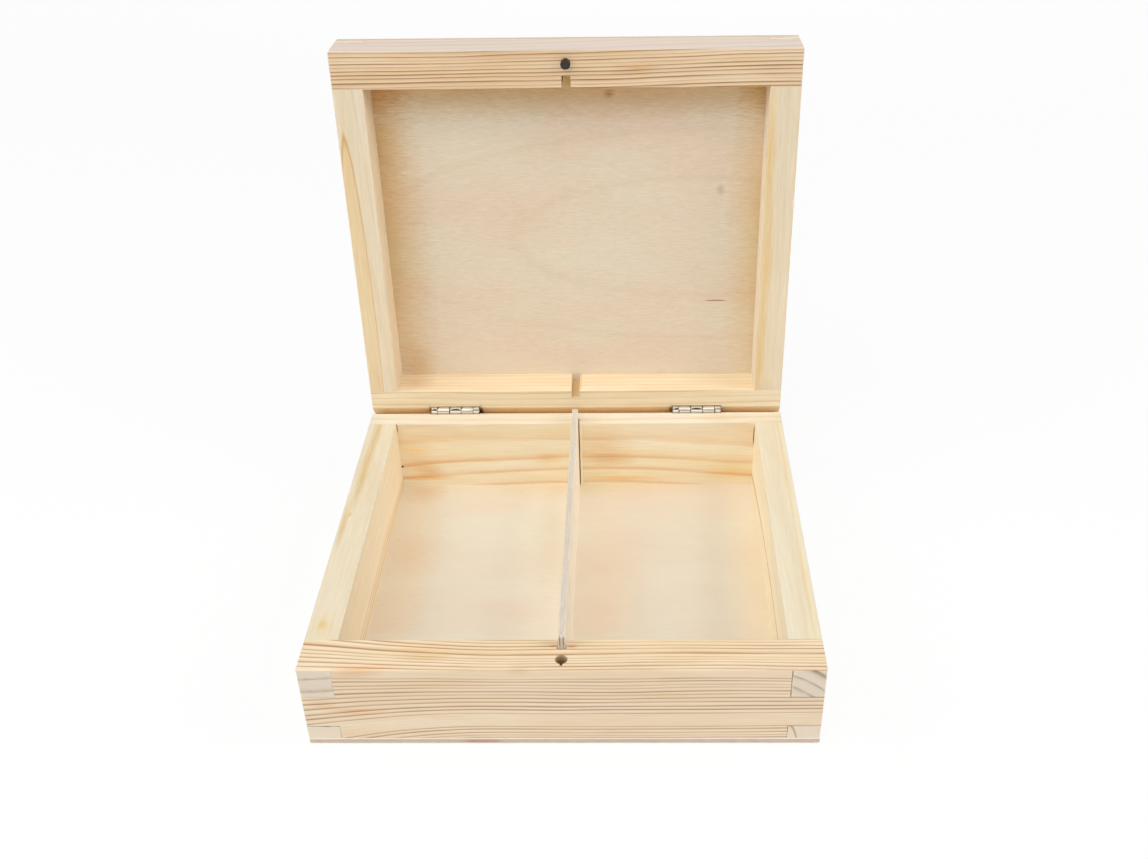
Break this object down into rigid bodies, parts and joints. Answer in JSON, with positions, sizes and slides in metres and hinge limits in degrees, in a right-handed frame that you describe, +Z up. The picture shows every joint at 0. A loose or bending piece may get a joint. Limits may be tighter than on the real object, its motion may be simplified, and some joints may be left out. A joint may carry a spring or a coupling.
{
  "type": "wooden storage box",
  "caption": "Open pine storage box with finger-jointed frames, plywood panels, a removable divider, a hinged lid and a magnetic catch.",
  "frame": {"origin": "centre of the underside of the base", "axes": "+Z up, +X to the right and -Y towards the front of the box; the lid stands open at the back"},
  "size_m": [0.22, 0.2232, 0.2384],
  "materials": {
    "pine": "planed and sanded, unfinished",
    "plywood": "sanded, unfinished",
    "hinge_metal": "nickel plated",
    "magnet": "dark plated"
  },
  "bodies": {
    "base": {"base_front_wall": "pine", "base_back_wall": "pine", "base_left_wall": "pine", "base_right_wall": "pine", "base_panel": "plywood", "divider": "plywood", "base_magnet": "magnet", "left_hinge_base_leaf": "hinge_metal", "right_hinge_base_leaf": "hinge_metal", "left_hinge_pin": "hinge_metal", "right_hinge_pin": "hinge_metal", "base_hinge_screws": "hinge_metal"},
    "lid": {"lid_front_wall": "pine", "lid_back_wall": "pine", "lid_left_wall": "pine", "lid_right_wall": "pine", "lid_panel": "plywood", "lid_magnet": "magnet", "left_hinge_lid_leaf": "hinge_metal", "right_hinge_lid_leaf": "hinge_metal", "lid_hinge_screws": "hinge_metal"}
  },
  "joints": [
    {"name": "lid_hinge", "type": "hinge", "parent": "base", "child": "lid", "pos_m": [0, 0.0942, 0.0443], "axis": [1, 0, 0], "range_deg": [0, 92]}
  ]
}
